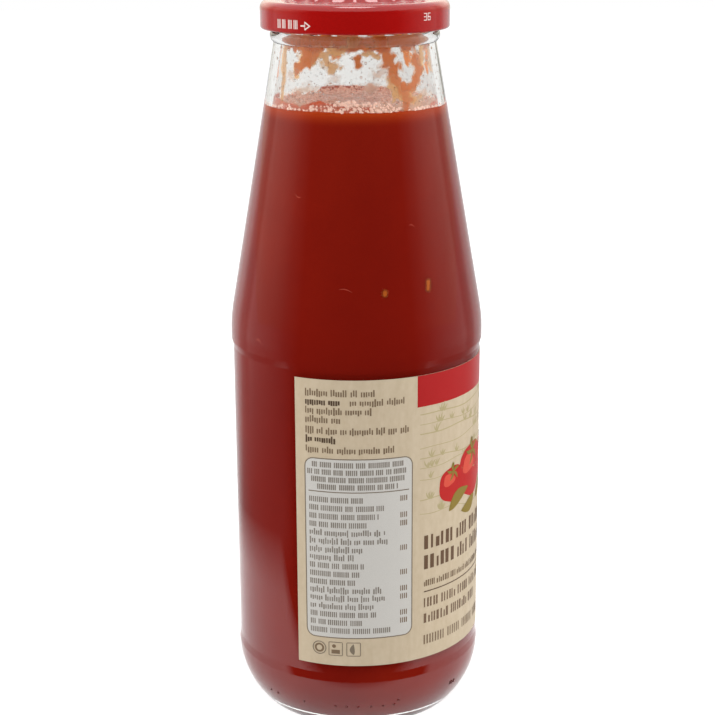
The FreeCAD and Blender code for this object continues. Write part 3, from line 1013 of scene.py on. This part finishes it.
def print_side_panel(left, rng, inks):
    """Small print above a boxed table of values, and three plain marks below it."""
    text, bold, line, table = inks["text"], inks["bold"], inks["line"], inks["table"]
    start = left + 3.4
    for up, length, ink in ((86.4, 21.4, text), (83.6, 11.0, bold), (80.9, 20.6, text),
                            (78.2, 11.3, text), (74.8, 31.8, text), (72.1, 10.5, bold),
                            (68.9, 27.4, text)):
        ink.greeked(start, up - 0.7, start + length, 2.1, rng, 1.25 if ink is bold else 1.0)
    text.greeked(start + 13.5, 82.9, start + 30.6, 2.1, rng)
    box = (left + 2.9, 9.0, left + 36.0, 66.6)
    inks["grey"].panel(*box, 2.8)
    line.frame(*box, 2.8, 0.32)
    for up, inset in ((64.6, 2.4), (62.3, 0.9), (60.0, 2.1), (57.7, 4.0)):
        table.greeked(box[0] + inset, up - 0.85, box[2] - inset, 1.75, rng, 1.1, True)
    line.bar(box[0] + 1.2, 55.95, box[2] - 1.2, 56.25)
    row_length = box[2] - box[0] - 2.8
    for row in range(17):
        up = 53.5 - 2.63 * row - 0.75
        length = row_length * rng.uniform(0.46, 0.84)
        capitals = row not in (4, 5, 6, 7, 11, 12, 13)
        table.greeked(box[0] + 1.4, up, box[0] + 1.4 + length, 1.8 if capitals else 2.0,
                      rng, 1.0, capitals)
        if row % 3 == 0 or row in (2, 11, 14):
            text.greeked(box[2] - 4.0, up, box[2] - 1.3, 1.8, rng, 0.9, True)
    line.ring(left + 7.0, 5.5, 2.2, 0.3)
    text.ring(left + 7.0, 5.5, 1.5, 0.6)
    for along in (12.1, 17.6):
        line.frame(left + along - 2.2, 3.2, left + along + 2.2, 7.8, 0.4, 0.24)
    text.bar(left + 10.8, 3.9, left + 13.4, 5.2)
    text.disc(left + 11.6, 6.4, 0.6, 0.6)
    line.leaf(left + 17.6, 3.7, 3.6, 1.6, math.pi / 2)


def print_front_panel(rng, inks):
    """Red band, faint drawing, tomatoes on the vine and bars where a title would be."""
    inks["red"].bar(BORDER, LABEL_HEIGHT - 9.65, FRONT_END, LABEL_HEIGHT - 0.02)
    print_fields(inks["faint"], rng)
    print_tomatoes(inks)
    left = BORDER + 2.6
    for ink, low, height, length, line in (("title", 35.7, 4.4, 44, 0.95),
                                           ("title", 29.2, 4.5, 40, 0.95),
                                           ("second", 16.7, 3.0, 46, 0.62),
                                           ("second", 11.5, 3.1, 30, 0.62),
                                           ("text", 23.6, 2.0, 46, 0.36)):
        inks[ink].uprights(left, low, left + length, height, line, rng)
    inks["bold"].bar(left, 21.7, left + 50, 22.05)
    inks["text"].greeked(left, 4.4, left + 34, 3.2, rng, 0.8, True)


def print_fields(faint, rng):
    """Faint rolling furrows with sprigs, across the panel behind the tomatoes."""
    low_edge, high_edge = 46, LABEL_HEIGHT - 12
    for row in range(9):
        base = low_edge + (high_edge - low_edge) * (row / 8) ** 0.8
        swell = rng.uniform(0.6, 1.6)
        phase = rng.uniform(0, 6.3)
        thin = rng.uniform(0.18, 0.34)
        pairs = []
        for step in range(61):
            along = BORDER + 1 + (FRONT_END - BORDER - 2) * step / 60
            up = base + swell * math.sin(phase + along * 0.095) \
                + 0.4 * swell * math.sin(along * 0.31 + phase)
            pairs.append(((along, up), (along, up + thin)))
        faint.band(pairs)
        for _ in range(7):
            along = rng.uniform(BORDER + 2, FRONT_END - 4)
            up = base + swell * math.sin(phase + along * 0.095)
            for lean in (-0.55, 0, 0.55):
                faint.leaf(along, up, rng.uniform(1.6, 3.2), 0.55, math.pi / 2 + lean)


def print_tomatoes(inks):
    """Three round tomatoes with leaves, one in front of the others."""
    leaf = inks["leaf"]
    for along, up, size, phase in ((52.0, 54.0, 6.4, 0.3), (76.5, 56.5, 7.6, 1.7),
                                   (64.0, 55.5, 9.6, 0.9)):
        inks["fruit"].disc(along, up, size, size * 0.9, 0.035, 5, phase)
        inks["fruit_light"].disc(along - size * 0.3, up + size * 0.25, size * 0.42,
                                 size * 0.3, 0.12, 3, phase)
        for turn in range(5):
            leaf.leaf(along, up + size * 0.62, size * 0.5, size * 0.16,
                      math.radians(90 + 72 * turn + 10 * phase))
        inks["stem"].bar(along - 0.35, up + size * 0.62, along + 0.35, up + size * 1.05)
    for along, up, length, direction in ((50.0, 45.6, 12, 25), (66.0, 46.6, 10, 196),
                                         (68.0, 44.6, 13, 12), (80.0, 64.0, 9, 40)):
        leaf.leaf(along, up, length, 4.6, math.radians(direction))


def print_label():
    """Every ink is one piece; later layers lie on top of earlier ones."""
    inks = {}
    for ink, name, colour, *layer_and_gloss in (
            ("grey", "table_ground", (191, 188, 182), 1),
            ("faint", "faint_furrows", (170, 157, 118), 1),
            ("red", "red_band", (166, 27, 28), 1, 0.32),
            ("stem", "vine_stems", (96, 92, 40), 3),
            ("fruit", "tomato_picture", (178, 32, 30), 2, 0.4),
            ("fruit_light", "tomato_highlights", (204, 76, 58), 3, 0.4),
            ("leaf", "leaf_picture", (132, 112, 46), 4),
            ("line", "fine_lines", (120, 108, 92), 2),
            ("text", "small_print", (118, 98, 76), 2),
            ("table", "table_print", (126, 118, 108), 2),
            ("bold", "bold_print", (84, 66, 50), 2),
            ("title", "title_shapes", (98, 74, 54), 2),
            ("second", "second_title_shapes", (112, 90, 70), 2)):
        inks[ink] = Print(name, srgb(*colour), *layer_and_gloss)
    rng = random.Random(11)
    print_side_panel(0, rng, inks)
    print_side_panel(FRONT_END, rng, inks)
    print_front_panel(rng, inks)
    for ink in inks.values():
        ink.finish()


# ---- lid print
def make_lid_print():
    """White marks round the skirt: upright ticks, an arrow outline and a plain number."""
    white = Print("lid_print", srgb(222, 206, 200), 1, 0.35, ON_LID)
    for left, right in ((-51.9, -48.3), (-47.6, -43.2), (-42.5, -38.9), (-38.2, -34.6)):
        for stroke in range(int((right - left) / 1.1)):
            white.bar(left + 1.1 * stroke, 213.7, left + 1.1 * stroke + 0.6, 216.2)
    middle, line = 214.7, 0.2
    white.bar(-33.2, middle - line, -30.0, middle + line)
    white.bar(-30.5, middle - 1.1, -30.1, middle + 1.1)
    for side in (-1, 1):
        white.band([((-30.5, middle + 0.85 * side), (-30.2, middle + 1.25 * side)),
                    ((-27.3, middle - 0.1 * side), (-26.5, middle))])
    for left, strokes in ((44.3, "abgcd"), (47.6, "afgcde")):
        draw_digit(white, left, 215.7, strokes)
    white.finish()


def draw_digit(ink, left, low, strokes):
    """One plain seven-stroke digit, 2.5 degrees wide and 2.1 mm tall."""
    wide, tall, line, thin = 2.5, 2.1, 0.5, 0.22
    right, high, middle = left + wide, low + tall, low + tall / 2
    boxes = {"a": (left, high - thin, right, high), "d": (left, low, right, low + thin),
             "g": (left, middle - thin / 2, right, middle + thin / 2),
             "b": (right - line, middle, right, high),
             "c": (right - line, low, right, middle),
             "f": (left, middle, left + line, high),
             "e": (left, low, left + line, middle)}
    for stroke in strokes:
        ink.bar(*boxes[stroke])


# ---- stage
def reflected_surroundings(nodes, direction):
    """What gloss on the object shows: dark in front, tall soft boxes at the sides, a
    dimmer gap, then the white backdrop. Strength by the angle from the camera side."""
    parts = nodes.parts(direction)
    flat = nodes.add("CombineXYZ", X=parts["X"], Y=parts["Y"], Z=0.0)
    front = nodes.parts(nodes.add("VectorMath", {"operation": "NORMALIZE"}, i0=flat))["Y"]
    turn = nodes.math("DIVIDE", nodes.math("ARCCOSINE", nodes.times(front, -1.0)), math.pi)
    around = nodes.mix(1.0, nodes.by_angle(turn, SURROUNDINGS), (*WARM, 1), "MULTIPLY")
    higher = nodes.clamp(nodes.plus(nodes.times(parts["Z"], UPWARD_RISE), UPWARD_LEAST),
                         UPWARD_LEAST, UPWARD_MOST)
    around = nodes.add("VectorMath", {"operation": "SCALE"}, i0=around, Scale=higher)
    above, spot = (nodes.ramp(parts["Z"], [(first, (0, 0, 0)), (last, (1, 1, 1))])
                   for first, last in (CEILING_STARTS, SPOT_STARTS))
    bright = nodes.plus(nodes.times(spot, OVERHEAD_SPOT), CEILING)
    return nodes.mix(above, around, nodes.add("CombineXYZ", X=bright, Y=bright, Z=bright))


SURROUNDINGS = [(0, 0.01), (52, 0.015), (66, 0.14), (74, 0.28), (86, 0.46), (112, 0.68),
                (118, 0.4), (127, 0.46), (136, 0.85), (180, 0.95)]
WARM = (1.0, 0.96, 0.84)
# Z of a direction: how the sides brighten with it, and where the ceiling and its spot start
UPWARD_RISE, UPWARD_LEAST, UPWARD_MOST = 4.5, 0.95, 2.0
CEILING_STARTS, SPOT_STARTS = (0.38, 0.52), (0.97, 0.985)
CEILING = 1.5
OVERHEAD_SPOT = 9.0
SOFT_LIGHT = 0.56


def make_world():
    world = bpy.data.worlds.new("studio")
    bpy.context.scene.world = world
    world.use_nodes = True
    world.node_tree.nodes.clear()
    nodes = Nodes(world.node_tree)
    mirrored = reflected_surroundings(nodes, nodes.coordinates("Generated"))
    lit = nodes.mix(nodes.ray("Glossy"), (SOFT_LIGHT, SOFT_LIGHT, SOFT_LIGHT, 1), mirrored)
    colour = nodes.mix(nodes.ray("Camera", "Transmission"), lit, (1, 1, 1, 1))
    nodes.show(nodes.add("Background", Color=colour, Strength=1.0), "World")


def make_lamp(name, location, size, power):
    """A soft lamp aimed at the jar that gloss doesn't show: the surroundings do that."""
    data = bpy.data.lights.new(name, "AREA")
    data.shape = "RECTANGLE"
    data.size, data.size_y = size
    data.energy = power
    lamp = new_object(name, data)
    lamp.location = location
    aim = Vector((0, 0, 0.11)) - Vector(location)
    lamp.rotation_euler = aim.to_track_quat("-Z", "Y").to_euler()
    lamp.visible_glossy = False
    lamp.visible_transmission = False


FLOOR_HALF = 3.0
FLOOR_GLOW = 0.6
BRIGHT_FLOOR_EDGE = -0.073     # in front of this the floor next to the jar reads as dark
BRIGHT_FLOOR_FADE = 0.015
DARK_FLOOR = 0.015
NEAR_FLOOR = 1.25
# metres from the axis over which the floor goes from near to by angle, then to far out
BY_ANGLE_STARTS, FAR_STARTS = (0.13, 0.19), (0.22, 0.6)
RIGHT_STARTS, RIGHT_DIMMER = (-0.05, 0.2), -0.15
FLOOR_BY_ANGLE = [(0, 0.015), (56, 0.015), (68, 0.17), (110, 0.2), (128, 0.3), (148, 0.85),
                  (180, 0.92)]


def mirrored_floor(nodes):
    """Strength of the floor in gloss: dark in front of the jar, bright close to it and
    behind it, and far out the same as the surroundings above the horizon."""
    parts = nodes.parts(nodes.coordinates())
    turn = nodes.math("DIVIDE", nodes.math("ARCTAN2", nodes.math("ABSOLUTE", parts["X"]),
                                           nodes.times(parts["Y"], -1.0)), math.pi)
    away = nodes.math("SQRT", nodes.plus(nodes.math("POWER", parts["X"], 2.0),
                                         nodes.math("POWER", parts["Y"], 2.0)))
    near = nodes.between(parts["Y"], BRIGHT_FLOOR_EDGE,
                         BRIGHT_FLOOR_EDGE + BRIGHT_FLOOR_FADE)
    level = nodes.times(nodes.math("MAXIMUM", near, DARK_FLOOR), NEAR_FLOOR)
    for levels, starts in ((FLOOR_BY_ANGLE, BY_ANGLE_STARTS), (SURROUNDINGS, FAR_STARTS)):
        level = nodes.add("Mix", {"data_type": "FLOAT"}, i2=level,
                          i0=nodes.between(away, *starts),
                          i3=nodes.by_angle(turn, levels)).outputs[0]
    right = nodes.times(nodes.between(parts["X"], *RIGHT_STARTS), RIGHT_DIMMER)
    return nodes.times(level, nodes.plus(right, 1.0))


def make_floor():
    """A pale floor that reads as white and still takes the jar's shadow."""
    nodes = new_material("pale_floor")
    matt = nodes.add("BsdfDiffuse", Color=nodes.tone(30, (0.78,) * 3, (0.80,) * 3))
    glow = nodes.add("Emission", Color=(1, 1, 1, 1),
                     Strength=nodes.times(nodes.ray("Camera", "Transmission"), FLOOR_GLOW))
    mirrored = nodes.add("Emission", Color=(1, 1, 1, 1), Strength=mirrored_floor(nodes))
    lit = nodes.add("AddShader", i0=matt, i1=glow)
    mesh = bpy.data.meshes.new("floor")
    mesh.from_pydata([(FLOOR_HALF * x, FLOOR_HALF * y, 0) for x, y in
                      ((-1, -1), (1, -1), (1, 1), (-1, 1))], [], [(0, 1, 2, 3)])
    mesh.materials.append(nodes.show(nodes.mix_shaders(nodes.ray("Glossy"), lit, mirrored)))
    new_object("floor", mesh)


CAMERA_BACK = 0.50013
CAMERA_UP = 0.25369
CAMERA_DOWN = math.radians(15.946)
CAMERA_ROLL = math.radians(-0.291)
CAMERA_TURN = math.radians(-0.0294)
LENS_MM = 83.86


def make_camera():
    data = bpy.data.cameras.new("camera")
    data.lens = LENS_MM
    data.sensor_width = 36
    camera = new_object("camera", data)
    turn = Matrix.Rotation(CAMERA_TURN, 4, "Z")
    tilt = Matrix.Rotation(math.pi / 2 - CAMERA_DOWN, 4, "X")
    roll = Matrix.Rotation(CAMERA_ROLL, 4, "Z")
    camera.matrix_world = (Matrix.Translation((0, -CAMERA_BACK, CAMERA_UP))
                           @ turn @ tilt @ roll)
    bpy.context.scene.camera = camera


# ---- build
dress("glass_jar", glass_material())
make_lid()
dress("lid_gasket", gasket_material())
dress("label", paper_material())
make_pulp()
make_smears()
make_foam()
make_droplets()
make_seeds()
make_lid_print()
make_heel_marks()
print_label()
make_world()
make_floor()
for lamp in (("side_left", (-1.3, -0.3, 0.55), (0.8, 0.9), 13.2),
             ("side_right", (1.3, -0.3, 0.55), (0.8, 0.9), 12.9),
             ("front", (0.0, -1.4, 1.0), (0.6, 0.4), 1.7),
             ("overhead", (0.0, -0.12, 0.95), (0.5, 0.5), 1.6)):
    make_lamp(*lamp)
make_camera()
bpy.context.scene.view_settings.view_transform = "Standard"
